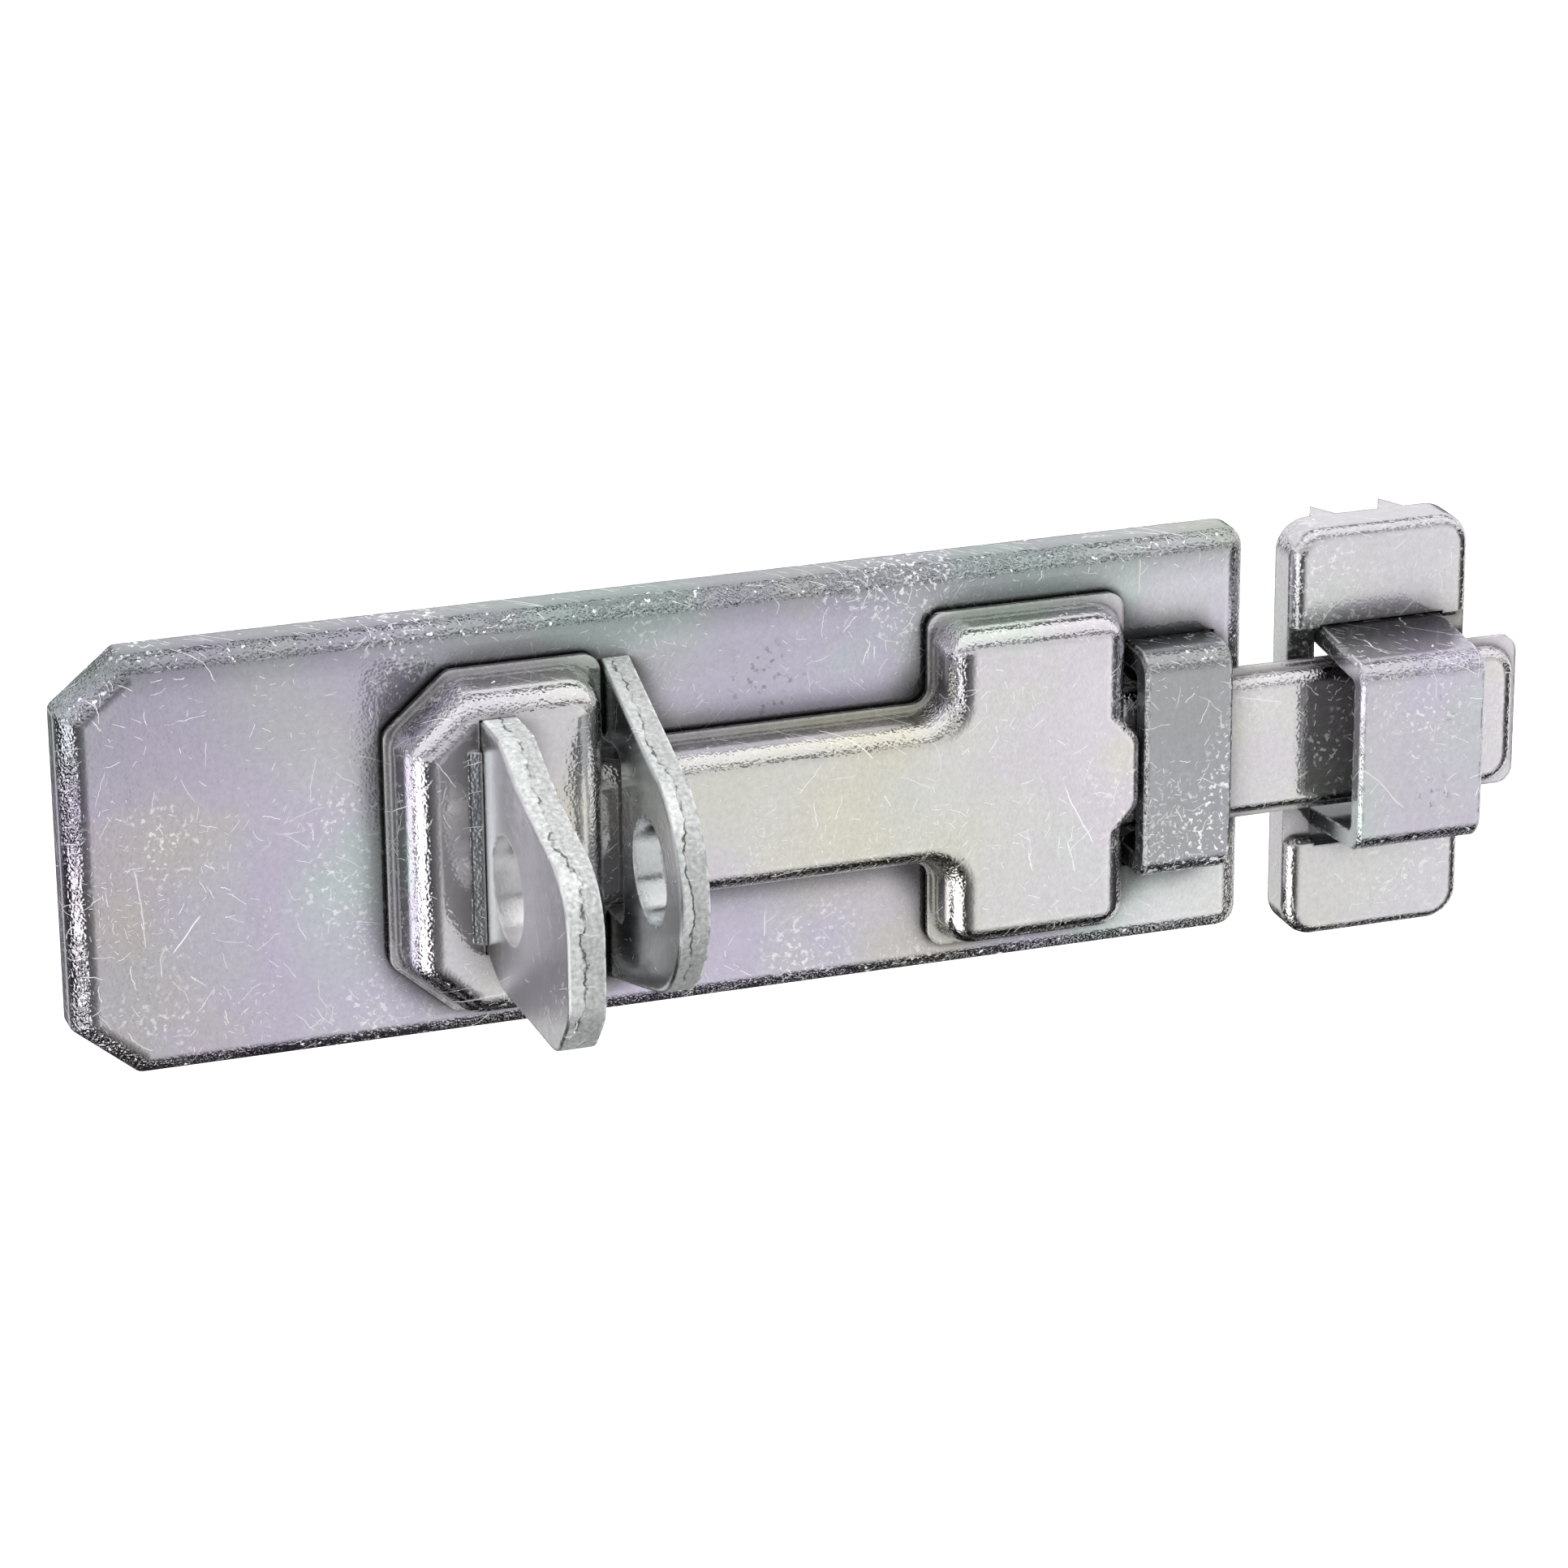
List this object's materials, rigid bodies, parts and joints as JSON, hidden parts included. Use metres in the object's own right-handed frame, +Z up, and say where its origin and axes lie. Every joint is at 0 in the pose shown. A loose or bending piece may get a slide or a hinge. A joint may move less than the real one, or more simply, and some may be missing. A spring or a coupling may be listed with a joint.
{
  "type": "padbolt",
  "caption": "Pressed steel padbolt: a sliding bolt with a lug beside a fixed lug for a padlock, a guide strap on the base plate, and a separate keeper plate with a strap.",
  "frame": {"origin": "middle of the base plate's back, on the door plane", "axes": "+X along the base plate towards the keeper, +Z up the plate, -Y outward from the door; the rest pose is the bolt thrown into the keeper"},
  "size_m": [0.1757, 0.0495, 0.0523],
  "materials": {
    "base_plate": "zinc plated pressed sheet, fine scratches",
    "fixed_lug": "zinc plated punched plate",
    "guide_strap": "zinc plated bent strap, satin",
    "bolt": "zinc plated pressed sheet, fine scratches",
    "bolt_lug": "zinc plated punched plate",
    "keeper_plate": "zinc plated pressed sheet",
    "keeper_strap": "zinc plated bent strap"
  },
  "bodies": {
    "base": {"base_plate": "base_plate", "fixed_lug": "fixed_lug", "guide_strap": "guide_strap", "keeper_plate": "keeper_plate", "keeper_strap": "keeper_strap"},
    "slide": {"bolt": "bolt", "bolt_lug": "bolt_lug"}
  },
  "joints": [
    {"name": "bolt_slide", "type": "slide", "parent": "base", "child": "slide", "axis": [1, 0, 0], "range_m": [-0.0345, 0]}
  ]
}
